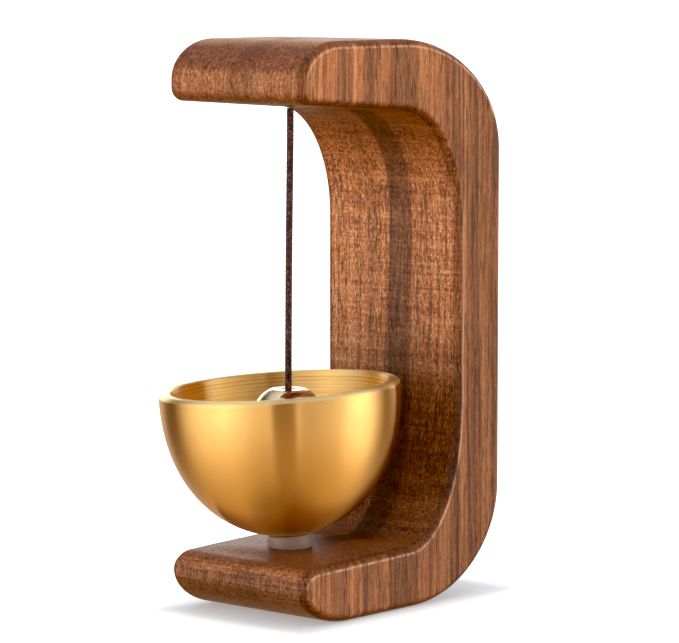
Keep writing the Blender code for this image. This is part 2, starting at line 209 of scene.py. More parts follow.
def walnut_material():
    """Solid walnut: the grain runs along Z, so one block gives every face its own figure."""
    s = Shader("walnut")
    millimetres = s.stretched((1000.0, 1000.0, 1000.0))
    x, y, z = s.split(millimetres)
    normal_x, normal_y, normal_z = s.split(s.add("ShaderNodeNewGeometry").outputs["Normal"])
    turned = s.math("ABSOLUTE", normal_x)
    sideways = s.span(turned, 0.45, 0.85)
    facing_front = s.span(s.math("MULTIPLY", normal_y, -1.0), 0.05, 0.5)
    inner = s.math("MULTIPLY", facing_front, s.span(y, -4.0, 4.0, 0.0, 1.0))

    # slow wander of the grain, shared by everything below
    wander = s.noise(s.stretched((0.06, 0.06, 0.014), millimetres), 2.0, 0.5)
    push = s.math("MULTIPLY", s.math("SUBTRACT", wander, 0.5), 3.6)
    wavy_x, wavy_y = s.math("ADD", x, push), s.math("ADD", y, push)
    bent = s.add("ShaderNodeCombineXYZ")
    for socket, value in zip(bent.inputs, (wavy_x, wavy_y, z)):
        s.feed(socket, value)
    bent = bent.outputs[0]

    # broad stripes across the board's width (X) and its depth (Y)
    across = s.math("DIVIDE", s.math("ADD", wavy_x, 20.0), 40.0)
    stripes_x = s.ramp(across, [
        (0.04, 0.95), (0.16, 1.12), (0.30, 1.12), (0.355, 0.92), (0.385, 0.92), (0.42, 1.10),
        (0.476, 1.14), (0.490, 0.44), (0.54, 0.42), (0.60, 0.48), (0.625, 0.52), (0.640, 0.92),
        (0.70, 1.06), (0.80, 1.16), (0.88, 1.06), (0.96, 0.86)])
    along = s.math("DIVIDE", s.math("ADD", wavy_y, 32.0), 64.0)
    stripes_y = s.ramp(along, [
        (0.04, 1.10), (0.13, 1.22), (0.185, 1.20), (0.195, 0.88), (0.24, 0.92), (0.25, 1.24),
        (0.30, 1.22), (0.315, 0.78), (0.36, 0.84), (0.37, 1.16), (0.42, 1.18), (0.432, 0.64),
        (0.50, 0.72), (0.545, 0.74), (0.56, 1.10), (0.66, 1.06), (0.70, 0.90), (0.745, 0.66),
        (0.775, 1.02), (0.82, 0.62), (0.87, 0.96), (0.91, 0.64), (0.96, 0.86)])
    at_tips = s.span(y, -12.0, -2.0, 0.70, 0.0)
    stripes_x = s.mix(at_tips, stripes_x, (0.92, 0.92, 0.92))
    stripes = s.mix(sideways, stripes_x, stripes_y)
    # painted shade: the wood is made darker towards the base, standing in for light that falls off
    # lower down
    level = s.math("DIVIDE", z, 108.0)
    painted_shade_up_the_board = s.mix(sideways,
                         s.ramp(level, [(0.0, 0.60), (0.20, 0.70), (0.45, 0.93), (1.0, 0.98)]),
                         s.ramp(level, [(0.0, 0.80), (0.45, 0.89), (0.78, 0.92), (1.0, 1.10)]))
    # painted shadow and shade on the inner face: darker low down, where the bowl's shadow falls, and
    # again just under the top arm
    painted_shade_inside = s.ramp(level, [
        (0.12, 0.56), (0.24, 0.40), (0.36, 0.54), (0.50, 1.06), (0.80, 1.24), (0.90, 0.72)])
    stripes = s.mix(1.0, stripes, s.mix(inner, painted_shade_up_the_board, painted_shade_inside), "MULTIPLY")

    # growth lines, granular fibres, a coarse speckle and, inside, marks of the saw
    lines = s.noise(s.stretched((0.9, 0.9, 0.008), bent), 4.0, 0.7)
    fibres = s.noise(s.stretched((3.2, 3.2, 0.50), bent), 3.0, 0.7)
    speckle = s.noise(s.stretched((3.8, 3.8, 2.8), bent), 2.0, 0.7)
    saw = s.noise(s.stretched((0.045, 0.045, 1.15), millimetres), 3.0, 0.75)
    base_tip = s.math("MULTIPLY", facing_front, s.span(s.math("ADD", y, z), -14.0, -18.0))
    file_marks = s.noise(s.stretched((0.06, 0.06, 2.0), millimetres), 2.0, 0.7)
    granules = s.noise(s.stretched((1.9, 1.9, 1.5), bent, (2.0, 6.0, 4.0)), 1.0, 0.5)
    grain = 0.5
    for texture, weight in (
            (lines, s.span(sideways, 0.0, 1.0, 0.55, 0.95)),
            (fibres, s.span(sideways, 0.0, 1.0, 0.55, 0.50)),
            (speckle, s.span(sideways, 0.0, 1.0, 0.75, 0.30)),
            (granules, s.span(sideways, 0.0, 1.0, 0.50, 0.12)),
            (saw, s.math("MULTIPLY", inner, 0.60)),
            (file_marks, s.math("MULTIPLY", base_tip, 0.60))):
        grain = s.math("ADD", grain, s.math("MULTIPLY", s.math("SUBTRACT", texture, 0.5), weight))
    tone = s.mix(1.0, s.ramp(grain, WALNUT_TONES), stripes, "MULTIPLY")

    # open pores: short dark dashes, in drifts, and longer dark strands
    drifts = s.noise(s.stretched((0.22, 0.22, 0.03), bent), 2.0, 0.5)
    cells = s.noise(s.stretched((2.7, 2.7, 0.26), bent, (11.0, 5.0, 3.0)), 1.0, 0.4)
    pores = s.math("MULTIPLY", s.span(cells, 0.59, 0.69), s.span(drifts, 0.38, 0.62, 0.25, 1.0))
    strands = s.noise(s.stretched((1.5, 1.5, 0.045), bent, (3.0, 9.0, 1.0)), 2.0, 0.55)
    behind = s.span(y, 8.0, 20.0, 0.35, 1.0)
    strand_mask = s.math("MULTIPLY", s.span(strands, 0.55, 0.64), behind)
    seams = s.noise(s.stretched((0.9, 0.9, 0.004), bent, (5.0, 1.0, 8.0)), 1.0, 0.5)
    seam = s.math("MULTIPLY", s.span(s.math("ABSOLUTE", s.math("SUBTRACT", seams, 0.5)),
                                     0.004, 0.014, 1.0, 0.0), sideways)
    dark = s.math("MAXIMUM", s.math("MULTIPLY", pores, 0.70), s.math("MULTIPLY", strand_mask, 0.70))
    dark = s.math("MAXIMUM", dark, s.math("MULTIPLY", seam, 0.60))
    tone = s.mix(dark, tone, (0.055, 0.021, 0.014))

    # pale flecks, most of them on the inner face: painted glints that stand in for sheen off the
    # pore edges
    glint_noise = s.noise(s.stretched((2.8, 2.8, 0.9), millimetres, (7.0, 2.0, 5.0)), 1.0, 0.5)
    painted_glint_mask = s.math("MULTIPLY", s.span(glint_noise, 0.60, 0.72),
                        s.math("ADD", s.math("MULTIPLY", inner, 0.30), 0.16))
    tone = s.mix(painted_glint_mask, tone, s.mix(1.0, (0.85, 0.55, 0.38), stripes, "MULTIPLY"))

    # painted shade: rounded edges are made darker; and a painted highlight, a pale line, runs where
    # they meet the flat sides
    edge = s.math("MULTIPLY", s.span(turned, 0.08, 0.30), s.span(turned, 0.84, 0.94, 1.0, 0.0))
    tone = s.mix(edge, tone, s.mix(1.0, tone, (0.66, 0.60, 0.56), "MULTIPLY"))
    # painted shade: surfaces that face downwards are made darker and more saturated
    under = s.span(normal_z, -0.70, 0.0, 1.0, 0.0)
    tone = s.mix(under, tone, s.mix(1.0, tone, (0.54, 0.44, 0.30), "MULTIPLY"))
    # painted shade with a dull cool reflection: the top arm's front upper rounding is made darker
    # and purplish
    shoulder_painted_shade = s.math("MULTIPLY", s.span(normal_z, 0.20, 0.50),
                      s.math("MULTIPLY", s.span(normal_z, 0.90, 0.98, 1.0, 0.0),
                             s.math("MULTIPLY", facing_front, s.span(z, 70.0, 90.0))))
    tone = s.mix(shoulder_painted_shade, tone, s.mix(1.0, tone, (0.62, 0.58, 0.74), "MULTIPLY"))
    # painted highlight: the upward-facing rounding on the lower arm's tip is made paler and pinker,
    # as if lit from above
    brow_painted_highlight = s.math("MULTIPLY", base_tip, s.math("MULTIPLY", s.span(normal_z, 0.25, 0.60),
                                               s.span(normal_z, 0.80, 0.95, 1.0, 0.0)))
    tone = s.mix(brow_painted_highlight, tone, s.mix(1.0, tone, (1.35, 1.40, 1.60), "MULTIPLY"))
    # the pale line along the edges is a painted highlight (an edge glint), broken up by the growth
    # lines
    painted_edge_glint = s.math("MULTIPLY", s.span(turned, 0.91, 0.955), s.span(turned, 0.98, 0.995, 1.0, 0.0))
    painted_edge_glint = s.math("MULTIPLY", painted_edge_glint, s.span(normal_z, -0.10, 0.08))
    painted_edge_glint = s.math("MULTIPLY", painted_edge_glint, s.span(lines, 0.40, 0.58, 0.15, 1.0))
    tone = s.mix(s.math("MULTIPLY", painted_edge_glint, 0.75), tone, (0.84, 0.52, 0.38))

    s.set(Base_Color=tone, Specular_IOR_Level=0.28)
    gloss = s.math("ADD", s.math("MULTIPLY", fibres, 0.20), 0.30)
    s.set(Roughness=s.math("ADD", gloss, s.math("MULTIPLY", pores, 0.25), clamp=True))

    relief = s.math("SUBTRACT", s.math("ADD", s.math("MULTIPLY", fibres, 0.5),
                                       s.math("MULTIPLY", speckle, 0.4)),
                    s.math("MULTIPLY", dark, 0.9))
    normal = s.bump(relief, 0.6, 0.00014)
    s.set(Normal=s.bump(s.math("MULTIPLY", saw, inner), 0.6, 0.00022, normal))
    return s.material


def brass_material():
    """Turned brass: grooves run round the piece's own Z axis, fine outside and coarse inside."""
    s = Shader("satin_brass")
    x, y, z = s.split()
    radius = s.math("SQRT", s.math("ADD", s.math("MULTIPLY", x, x), s.math("MULTIPLY", y, y)))
    normal_x, normal_y, normal_z = s.split(s.add("ShaderNodeTexCoord").outputs["Normal"])
    outwards = s.math("ADD", s.math("MULTIPLY", normal_x, x), s.math("MULTIPLY", normal_y, y))
    inside = s.span(outwards, -0.004, 0.0, 1.0, 0.0)
    rings = s.add("ShaderNodeCombineXYZ")
    s.feed(rings.inputs[0], s.math("MULTIPLY", radius, 3600.0))
    s.feed(rings.inputs[1], s.math("MULTIPLY", z, 3600.0))
    grooves = s.noise(rings.outputs[0], 2.0, 0.6)
    turning = s.add("ShaderNodeCombineXYZ")
    s.feed(turning.inputs[0], s.math("MULTIPLY", s.math("ADD", z, radius), 3600.0))
    broad = s.noise(s.stretched((60.0, 60.0, 0.0)), 1.0, 0.5)
    s.feed(turning.inputs[1], broad)
    coarse = s.noise(turning.outputs[0], 3.0, 0.7)
    cloud = s.noise(s.stretched((120.0, 120.0, 120.0)), 3.0, 0.55)
    # the lip: a painted highlight in a paler colour, with a rougher finish and a little less metal
    lip = s.math("MULTIPLY", s.span(z, BOWL_DEPTH - 0.0010, BOWL_DEPTH - 0.0006),
                 s.span(normal_z, 0.15, 0.45))
    s.set(Metallic=s.math("SUBTRACT", 1.0, s.math("MULTIPLY", lip, LIP_HAZE)),
          Anisotropic=1.0, Anisotropic_Rotation=0.25)
    s.set(Roughness=s.math("ADD", s.span(cloud, 0.3, 0.7, 0.23, 0.26),
                           s.math("ADD", s.math("MULTIPLY", inside, 0.08),
                                  s.math("MULTIPLY", lip, 0.16))))
    tangent = s.add("ShaderNodeTangent", direction_type="RADIAL", axis="Z")
    s.set(Tangent=tangent.outputs[0])
    outer = s.mix(s.span(cloud, 0.3, 0.7), BRASS, tuple(channel * 0.95 for channel in BRASS))
    # inside: coarse turning rings, in a colour paler than the outside's, which is painted light that
    # makes the inside look brighter
    inside_rings_and_painted_light = s.ramp(coarse, [(0.34, (0.80, 0.48, 0.15)), (0.47, (1.0, 0.68, 0.26)),
                             (0.62, (1.0, 0.84, 0.42))])
    s.set(Base_Color=s.mix(lip, s.mix(inside, outer, inside_rings_and_painted_light), LIP_PAINTED_HIGHLIGHT))
    fine = s.bump(grooves, 0.10, 0.00004)
    s.set(Normal=s.bump(s.math("MULTIPLY", coarse, inside), 0.35, 0.00006, fine))
    return s.material


def clapper_material():
    s = Shader("polished_clapper")
    smear = s.noise(s.stretched((260.0, 260.0, 260.0)), 3.0, 0.6)
    s.set(Metallic=1.0, Base_Color=s.mix(smear, (0.96, 0.80, 0.56), (0.98, 0.85, 0.64)))
    s.set(Roughness=s.span(smear, 0.3, 0.8, 0.14, 0.22))
    s.set(Normal=s.bump(smear, 0.04, 0.0001))
    return s.material


def silicone_material():
    s = Shader("milky_silicone")
    cloud = s.noise(s.stretched((400.0, 400.0, 400.0)), 2.0, 0.5)
    s.set(Base_Color=s.mix(cloud, (0.40, 0.30, 0.25), (0.48, 0.37, 0.31)))
    s.set(Roughness=0.42, Subsurface_Weight=0.6, Subsurface_Scale=0.002,
          Transmission_Weight=0.25, IOR=1.41)
    s.surface.inputs["Subsurface Radius"].default_value = (1.0, 0.75, 0.6)
    s.set(Normal=s.bump(cloud, 0.1, 0.0001))
    return s.material


def steel_material(name, colour, roughness):
    s = Shader(name)
    scratch = s.noise(s.stretched((900.0, 900.0, 900.0)), 3.0, 0.6)
    s.set(Metallic=1.0, Base_Color=s.mix(scratch, colour, tuple(c * 0.9 for c in colour)))
    s.set(Roughness=s.span(scratch, 0.3, 0.7, roughness, roughness + 0.10))
    s.set(Normal=s.bump(scratch, 0.08, 0.00005))
    return s.material


def cord_material():
    s = Shader("braided_cord")
    strands = s.noise(s.stretched((2100.0, 2100.0, 1500.0)), 3.0, 0.7)
    s.set(Base_Color=s.ramp(strands, [
        (0.42, (0.016, 0.004, 0.003)), (0.53, (0.060, 0.014, 0.011)),
        (0.66, (0.280, 0.100, 0.085))]))
    s.set(Roughness=0.62, Sheen_Weight=0.35, Sheen_Roughness=0.4)
    s.set(Normal=s.bump(strands, 0.6, 0.0001))
    return s.material


# ---------------------------------------------------------------- mesh helpers
def add_piece(name, mesh, material, matrix=None):
    piece = bpy.data.objects.new(name, mesh)
    bpy.context.scene.collection.objects.link(piece)
    if material:
        mesh.materials.append(material)
    if matrix:
        piece.matrix_world = matrix
    return piece


def shade(piece, angle=32.0):
    piece.data.shade_smooth()
    piece.data.set_sharp_from_angle(angle=math.radians(angle))


def arc(centre, half_axes, start, end, steps):
    points = []
    for step in range(steps + 1):
        angle = math.radians(start + (end - start) * step / steps)
        points.append((centre[0] + half_axes[0] * math.cos(angle),
                       centre[1] + half_axes[1] * math.sin(angle)))
    return points


def turned_mesh(name, profile, steps, closed=True):
    """Quads around Z through (radius, height) points; a radius of 0 closes to a point."""
    mesh = bpy.data.meshes.new(name)
    shape = bmesh.new()
    rings = []
    for radius, height in profile:
        if radius < 1e-7:
            rings.append([shape.verts.new((0.0, 0.0, height))] * steps)
            continue
        rings.append([shape.verts.new((radius * math.cos(math.tau * k / steps),
                                       radius * math.sin(math.tau * k / steps), height))
                      for k in range(steps)])
    pairs = list(zip(rings, rings[1:]))
    if closed:
        pairs.append((rings[-1], rings[0]))
    for upper, lower in pairs:
        for k in range(steps):
            after = (k + 1) % steps
            corners = [upper[k], lower[k], lower[after], upper[after]]
            shape.faces.new(list(dict.fromkeys(corners)))
    bmesh.ops.recalc_face_normals(shape, faces=shape.faces)
    shape.to_mesh(mesh)
    shape.free()
    return mesh


def rounded(points, radius, steps=4):
    """A closed outline's corners replaced by small arcs (quadratic curves) of about radius."""
    result = []
    count = len(points)
    for i, point in enumerate(points):
        here = Vector(point)
        before, after = Vector(points[i - 1]), Vector(points[(i + 1) % count])
        into, out = (before - here), (after - here)
        reach_in = min(radius, into.length * 0.45)
        reach_out = min(radius, out.length * 0.45)
        start, end = here + into.normalized() * reach_in, here + out.normalized() * reach_out
        for step in range(steps + 1):
            t = step / steps
            result.append(tuple(start * (1 - t) ** 2 + here * 2 * t * (1 - t) + end * t ** 2))
    return result


def bake_modifiers(piece):
    evaluated = piece.evaluated_get(bpy.context.evaluated_depsgraph_get())
    mesh = bpy.data.meshes.new_from_object(evaluated)
    piece.modifiers.clear()
    piece.data = mesh


def cut_away(piece, mesh, matrix):
    """Takes a closed mesh, placed by the matrix, out of the piece."""
    cutter = add_piece("cutter", mesh, None, matrix)
    boolean = piece.modifiers.new("Cut", "BOOLEAN")
    boolean.operation, boolean.solver, boolean.object = "DIFFERENCE", "EXACT", cutter
    bake_modifiers(piece)
    bpy.data.objects.remove(cutter, do_unlink=True)


# ---------------------------------------------------------------- walnut frame
def slope(y, start, end, first_level, last_level):
    return first_level + (last_level - first_level) * (y - start) / (end - start)


def top_arm_underside(y):
    return slope(y, FRONT + TOP_TIP_EDGE[0], SPINE_FACE - INSIDE_TOP_CORNER[0],
                 FRAME_HEIGHT - TOP_ARM_TIP, FRAME_HEIGHT - TOP_ARM_ROOT)


def base_arm_top(y):
    return slope(y, FRONT + BASE_TIP_EDGE[0], SPINE_FACE - INSIDE_BASE_CORNER[0],
                 BASE_ARM_TIP, BASE_ARM_ROOT)


def crown(x, y):
    """Swelling of the lower arm's top, which fades out at its sides, tip and root."""
    start, end = FRONT + BASE_TIP_EDGE[0], SPINE_FACE - INSIDE_BASE_CORNER[0]
    along = min(1.0, max(0.0, (y - start) / 0.006), max(0.0, (end + 0.004 - y) / 0.008))
    across = max(0.0, 1.0 - (x / CROWN_HALF_WIDTH) ** 2)
    return BASE_ARM_CROWN * along * along * (3 - 2 * along) * across


def frame_outline(steps=36, tip_steps=14):
    ceiling = FRAME_HEIGHT - TOP_ARM_ROOT
    root, tip_end = SPINE_FACE - INSIDE_BASE_CORNER[0], FRONT + BASE_TIP_EDGE[0]
    corners = [
        ((FRONT + TIP_BASE_CORNER[0], TIP_BASE_CORNER[1]), TIP_BASE_CORNER, 180, 270, steps),
        ((BACK - BACK_BASE_CORNER[0], BACK_BASE_CORNER[1]), BACK_BASE_CORNER, 270, 360, steps),
        ((BACK - BACK_TOP_CORNER[0], FRAME_HEIGHT - BACK_TOP_CORNER[1]), BACK_TOP_CORNER,
         0, 90, steps),
        ((FRONT + TIP_TOP_CORNER[0], FRAME_HEIGHT - TIP_TOP_CORNER[1]), TIP_TOP_CORNER,
         90, 180, steps),
        ((FRONT + TOP_TIP_EDGE[0], FRAME_HEIGHT - TOP_ARM_TIP + TOP_TIP_EDGE[1]), TOP_TIP_EDGE,
         180, 270, tip_steps),
        ((SPINE_FACE - INSIDE_TOP_CORNER[0], ceiling - INSIDE_TOP_CORNER[1]),
         INSIDE_TOP_CORNER, 90, 0, steps),
        ((root, BASE_ARM_ROOT + INSIDE_BASE_CORNER[1]), INSIDE_BASE_CORNER, 0, -90, steps),
    ]
    outline = []
    for corner in corners:
        outline += arc(*corner)
    for step in range(1, 30):
        y = root + (tip_end - root) * step / 30
        outline.append((y, base_arm_top(y)))
    outline += arc((tip_end, BASE_ARM_TIP - BASE_TIP_EDGE[1]), BASE_TIP_EDGE, 90, 180, tip_steps)
    if math.dist(outline[0], outline[-1]) < 1e-5:
        outline.pop()
    return outline


def hole(radius, low, high, flare):
    """Cutter for a hole that opens upwards at height high, its mouth eased by flare."""
    profile = [(0.0, high + 0.001), (radius + flare + 0.001, high + 0.001), (radius + flare, high),
               (radius + 0.3 * flare, high - 0.3 * flare), (radius, high - flare),
               (radius, low), (0.0, low)]
    return turned_mesh("hole", profile, 48, closed=False)


def build_frame(material):
    half_width = FRAME_WIDTH / 2
    mesh = bpy.data.meshes.new("walnut_frame")
    shape = bmesh.new()
    side = shape.faces.new([shape.verts.new((-half_width, y, z)) for y, z in frame_outline()])
    grown = bmesh.ops.extrude_face_region(shape, geom=[side])["geom"]
    moved = [item for item in grown if isinstance(item, bmesh.types.BMVert)]
    bmesh.ops.translate(shape, verts=moved, vec=(FRAME_WIDTH, 0.0, 0.0))
    bmesh.ops.recalc_face_normals(shape, faces=shape.faces)
    for step in range(-11, 12):
        bmesh.ops.bisect_plane(shape, geom=shape.verts[:] + shape.edges[:] + shape.faces[:],
                               plane_co=(step * CROWN_HALF_WIDTH / 12, 0.0, 0.0),
                               plane_no=(1.0, 0.0, 0.0))
    for vertex in shape.verts:
        x, y, z = vertex.co
        if abs(z - base_arm_top(y)) < 0.0012 and abs(x) < CROWN_HALF_WIDTH and y < SPINE_FACE:
            vertex.co.z += crown(x, y)
    shape.to_mesh(mesh)
    shape.free()
    piece = add_piece("walnut_frame", mesh, material)
    rounding = piece.modifiers.new("Rounded edges", "BEVEL")
    rounding.width = EDGE_ROUNDING
    rounding.segments = 8
    rounding.limit_method = "ANGLE"
    rounding.angle_limit = math.radians(60)
    rounding.use_clamp_overlap = False
    bake_modifiers(piece)

    mouth = top_arm_underside(CORD_AXIS_Y)
    axis = Matrix.Translation((0.0, CORD_AXIS_Y, 0.0))
    flip = Matrix.Rotation(math.pi, 4, "X")
    cut_away(piece, hole(CORD_HOLE_RADIUS, mouth - 0.002, FRAME_HEIGHT, 0.0), axis)
    cut_away(piece, hole(RECESS_RADIUS, FRAME_HEIGHT - RECESS_DEPTH, FRAME_HEIGHT, 0.0003), axis)
    cut_away(piece, hole(CORD_HOLE_RADIUS, -mouth - 0.002, -mouth, 0.0002), axis @ flip)
    cut_away(piece, hole(SCREW_HOLE_RADIUS, -0.0106, 0.0, 0.0), BOWL_PLACE)
    for name in MAGNETS:
        low, high = (Vector(corner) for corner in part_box(name))
        radius = (high.x - low.x) / 2
        place = Matrix.Translation((0.0, BACK, (low.z + high.z) / 2)) @ Matrix.Rotation(
            math.radians(-90), 4, "X")
        cut_away(piece, hole(radius + 0.0002, -0.0035, 0.0, 0.0002), place)
    shade(piece, 30.0)
    weights = piece.modifiers.new("Even shading", "WEIGHTED_NORMAL")
    weights.keep_sharp = True
    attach(piece, "frame")
    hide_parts("wood_frame")


def build_magnets(material):
    for name in MAGNETS:
        low, high = (Vector(corner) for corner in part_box(name))
        radius, thickness = (high.x - low.x) / 2, high.y - low.y
        outline = rounded([(radius, 0.0), (radius, -thickness)], 0.0003)
        profile = [(0.0, 0.0)] + outline + [(0.0, -thickness)]
        place = Matrix.Translation((0.0, high.y, (low.z + high.z) / 2)) @ Matrix.Rotation(
            math.radians(-90), 4, "X")
        piece = add_piece(name + "_disc", turned_mesh(name, profile, 72, closed=False),
                          material, place)
        shade(piece)
        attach(piece, "frame")
        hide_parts(name)


# ---------------------------------------------------------------- bowl and its fixings
def bowl_curve(radius, depth, steps):
    first = math.asin(BOWL_HOLE_RADIUS / radius)
    points = []
    for step in range(steps + 1):
        angle = math.radians(90) + (first - math.radians(90)) * step / steps
        points.append((radius * math.sin(angle),
                       BOWL_DEPTH - depth * math.cos(angle) ** (2 / BOWL_FULLNESS)))
    return points


def outer_face(radius):
    """Height of the bowl's outer face at a radius, on the bowl's axis."""
    return BOWL_DEPTH * (1 - (1 - (radius / BOWL_RADIUS) ** 2) ** (1 / BOWL_FULLNESS))


def inner_face(radius):
    sine = radius / (BOWL_RADIUS - BOWL_WALL)
    return BOWL_DEPTH - (BOWL_DEPTH - BOWL_WALL) * (1 - sine ** 2) ** (1 / BOWL_FULLNESS)


def build_bowl(material):
    inner_radius = BOWL_RADIUS - BOWL_WALL
    outer = bowl_curve(BOWL_RADIUS, BOWL_DEPTH, 60)
    inner = bowl_curve(inner_radius, BOWL_DEPTH - BOWL_WALL, 56)
    edge, ease = 0.0009, 0.00022
    rim = arc((inner_radius + ease, BOWL_DEPTH - ease), (ease, ease), 180, 90, 6)
    rim += arc((BOWL_RADIUS - edge, BOWL_DEPTH - edge), (edge, edge), 90, 0, 16)
    outer = [point for point in outer if point[1] < BOWL_DEPTH - edge - 0.0002]
    inner = [point for point in inner if point[1] < BOWL_DEPTH - 0.0004]
    profile = rim + outer + inner[::-1]
    bowl = add_piece("satin_bowl", turned_mesh("satin_bowl", profile, 192), material, BOWL_PLACE)
    shade(bowl, 28.0)
    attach(bowl, "bowl")
    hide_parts("brass_bowl")


def build_washers(material):
    """The spacer swells a little, hugs the bowl above and lies flat on the sloping arm."""
    bore, radius, top_radius = SCREW_HOLE_RADIUS, WASHER_RADIUS, WASHER_TOP_RADIUS
    side = rounded([(top_radius, outer_face(top_radius) - SEAM), (radius, -0.0004),
                    (radius, -0.0018)], 0.0004)
    between = [bore + (top_radius - bore) * t for t in (0.25, 0.5, 0.75)]
    profile = [(bore, -SEAM)] + [(place, outer_face(place) - SEAM) for place in between]
    profile += side[2:-3] + [(radius - 0.0001, -0.0020), (bore, -0.0020)]
    mesh = turned_mesh("spacer", profile, 96)
    up = BOWL_PLACE.to_3x3() @ Vector((0.0, 0.0, 1.0))
    for vertex in mesh.vertices:
        if vertex.co.z < -0.00195:
            point = BOWL_PLACE @ vertex.co
            seat = base_arm_top(point.y) + crown(point.x, point.y)
            vertex.co.z -= (point.z - seat - SEAM) / up.z
    spacer = add_piece("bowl_spacer", mesh, material, BOWL_PLACE)
    shade(spacer, 40.0)
    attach(spacer, "frame")
    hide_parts("bowl_washer")

    radius = INNER_WASHER_RADIUS
    low = inner_face(radius) + SEAM
    high = inner_face(radius) + GAP + INNER_WASHER_THICKNESS
    outline = rounded([(bore, high), (radius, high), (radius, low), (bore, low - 0.0002)], 0.0003)
    piece = add_piece("screw_washer", turned_mesh("screw_washer", outline, 72), material,
                      BOWL_PLACE)
    shade(piece, 40.0)
    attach(piece, "frame")
    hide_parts("inner_washer")
    return high


def build_screw(material, seat):
    """Pan-head screw with a cross recess and a rolled thread."""
    head, core, crest, reach, pitch = SCREW_HEAD_RADIUS, 0.0010, 0.0014, 0.0100, 0.0011
    top = seat + GAP + SCREW_HEAD_HEIGHT
    seat += SEAM
    dome = [(head * math.sin(math.radians(a)), top - 0.0013 * (1 - math.cos(math.radians(a))))
            for a in range(0, 91, 9)]
    profile = dome + [(head, seat + 0.00025), (head - 0.0002, seat), (core, seat)]
    rings = int((reach - 0.002) / pitch)
    for ring in range(rings):
        middle = -0.0010 - ring * pitch
        profile += [(core, middle + 0.3 * pitch), (crest, middle + 0.03 * pitch),
                    (crest, middle - 0.03 * pitch), (core, middle - 0.3 * pitch)]
    profile += [(0.0, -reach)]
    screw = add_piece("pan_screw", turned_mesh("pan_screw", profile, 64, closed=False), material,
                      BOWL_PLACE)
    for turn in (20.0, 110.0):
        blade = bpy.data.meshes.new("blade")
        shape = bmesh.new()
        bmesh.ops.create_cube(shape, size=1.0)
        bmesh.ops.scale(shape, vec=(0.0032, 0.0008, 0.0022), verts=shape.verts)
        for vertex in shape.verts:
            if vertex.co.z < 0:
                vertex.co.x *= 0.6
        shape.to_mesh(blade)
        shape.free()
        cut_away(screw, blade, BOWL_PLACE @ Matrix.Translation((0, 0, top))
                 @ Matrix.Rotation(math.radians(turn), 4, "Z"))
    shade(screw)
    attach(screw, "frame")
    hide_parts("bowl_screw")


def build_clapper(material):
    flat = math.sqrt(CLAPPER_RADIUS ** 2 - CLAPPER_HALF_HEIGHT ** 2)
    first = math.asin(flat / CLAPPER_RADIUS)
    ease = 0.00012
    outline = []
    steps = 48
    for step in range(steps + 1):
        angle = first + (math.pi - 2 * first) * step / steps
        outline.append((CLAPPER_RADIUS * math.sin(angle), CLAPPER_RADIUS * math.cos(angle)))
    outline[0] = (outline[0][0] + 0.3 * ease, outline[0][1] - ease)
    outline[-1] = (outline[-1][0] + 0.3 * ease, outline[-1][1] + ease)
    bore, half = CLAPPER_BORE_RADIUS, CLAPPER_HALF_HEIGHT
    lip = 0.0003
    profile = [(bore, half - lip), (bore + 0.3 * lip, half - 0.3 * lip), (bore + lip, half),
               (flat - ease, half)] + outline + [
               (flat - ease, -half), (bore + lip, -half), (bore + 0.3 * lip, -half + 0.3 * lip),
               (bore, -half + lip)]
    piece = add_piece("clapper_bead", turned_mesh("clapper_bead", profile, 128), material,
                      Matrix.Translation(CLAPPER_CENTRE))
    shade(piece, 25.0)
    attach(piece, "clapper_bead")
    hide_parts("clapper")


# ---------------------------------------------------------------- cord and knots
CORD_RADIUS = 0.00066
CORD_PLAIT_PITCH = 0.0034    # one turn of a strand round the cord
MOUTH = top_arm_underside(CORD_AXIS_Y)
PIVOT = Vector((0.00032, CORD_AXIS_Y + 0.00030, MOUTH - GAP))
CLAPPER_TOP, CLAPPER_FOOT = CLAPPER_HIGH.z, CLAPPER_LOW.z
CORD_ROUTE = [
    PIVOT + Vector((0.0, 0.0, -0.00015)),
    Vector((0.00031, CORD_AXIS_Y + 0.00029, 0.0900)),
    Vector((0.00024, CORD_AXIS_Y + 0.00022, 0.0820)),
    Vector((0.00015, CORD_AXIS_Y + 0.00014, 0.0720)),
    Vector((0.00008, CORD_AXIS_Y + 0.00007, 0.0620)),
    Vector((0.00002, CORD_AXIS_Y + 0.00002, 0.0500)),
    Vector((0.0, CORD_AXIS_Y, CLAPPER_TOP)),
    Vector((0.0, CORD_AXIS_Y, CLAPPER_FOOT)),
]
KNOT_HALF_HEIGHT = 0.8 * 0.0016


def smooth_route(points, spacing):
    """Catmull-Rom curve through the points, read about every spacing metres."""
    padded = [2 * points[0] - points[1]] + points + [2 * points[-1] - points[-2]]
    route = [points[0].copy()]
    for before, start, end, after in zip(padded, padded[1:], padded[2:], padded[3:]):
        count = max(1, round((end - start).length / spacing))
        for step in range(1, count + 1):
            t = step / count
            route.append(0.5 * (2 * start + (end - before) * t
                                + (2 * before - 5 * start + 4 * end - after) * t ** 2
                                + (3 * start - before - 3 * end + after) * t ** 3))
    return route


def plait_height(around_cord, along, strands=4):
    """Relief, 0 to 1, of two sets of strands that pass over and under each other."""
    first = strands * (around_cord + along / CORD_PLAIT_PITCH)
    second = strands * (around_cord - along / CORD_PLAIT_PITCH)
    over = (math.floor(first) + math.floor(second)) % 2 == 0
    shown, crossed = (first, second) if over else (second, first)
    ridge = math.sin(math.pi * (shown % 1.0)) ** 0.5
    return ridge * (0.70 + 0.30 * math.sin(math.pi * (crossed % 1.0)))


